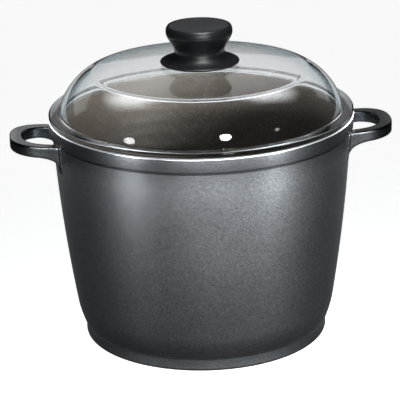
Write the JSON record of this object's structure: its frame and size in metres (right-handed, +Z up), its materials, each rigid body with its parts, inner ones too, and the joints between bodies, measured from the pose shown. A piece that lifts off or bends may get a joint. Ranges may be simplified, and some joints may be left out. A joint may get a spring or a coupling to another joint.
{
  "type": "stockpot with glass lid",
  "caption": "Tall round cast aluminium stockpot with two cast-on loop handles, a high-domed clear glass lid and a black waisted knob.",
  "frame": {"origin": "centre of the flat base underside, at the bottom of the whole object's bounding box", "axes": "+Z up along the pot's axis; +X along the line through the two handles; +Y across them, away from the viewer; metres"},
  "size_m": [0.3766, 0.2992, 0.3121],
  "materials": {
    "pot_lacquer": "dark grey grained lacquer outside, speckled non-stick coating inside",
    "base_steel": "turned ferritic steel",
    "lid_glass": "clear pressed and tempered glass",
    "upper_seal": "translucent silicone",
    "knob_phenolic": "satin moulded phenolic",
    "knob_cap": "smooth black plastic, no mark",
    "insert_brass": "turned brass",
    "lower_seal": "translucent silicone",
    "cup_steel": "pressed stainless steel",
    "spring_steel": "spring steel",
    "screw_steel": "stainless steel"
  },
  "bodies": {
    "pot": {"pot_casting": "pot_lacquer", "base_disc": "base_steel"},
    "lid": {"lid_glass": "lid_glass", "seal_above": "upper_seal", "seal_below": "lower_seal"},
    "knob": {"knob_body": "knob_phenolic", "knob_cap": "knob_cap", "knob_insert": "insert_brass", "cup_washer": "cup_steel", "spring_washer": "spring_steel", "lid_screw": "screw_steel"}
  },
  "joints": [
    {"name": "lid_lift", "type": "slide", "parent": "pot", "child": "lid", "axis": [0, 0, 1], "range_m": [0, 0.15]},
    {"name": "knob_turn", "type": "hinge", "parent": "lid", "child": "knob", "pos_m": [0, 0, 0.2735], "axis": [0, 0, 1], "continuous": true}
  ]
}
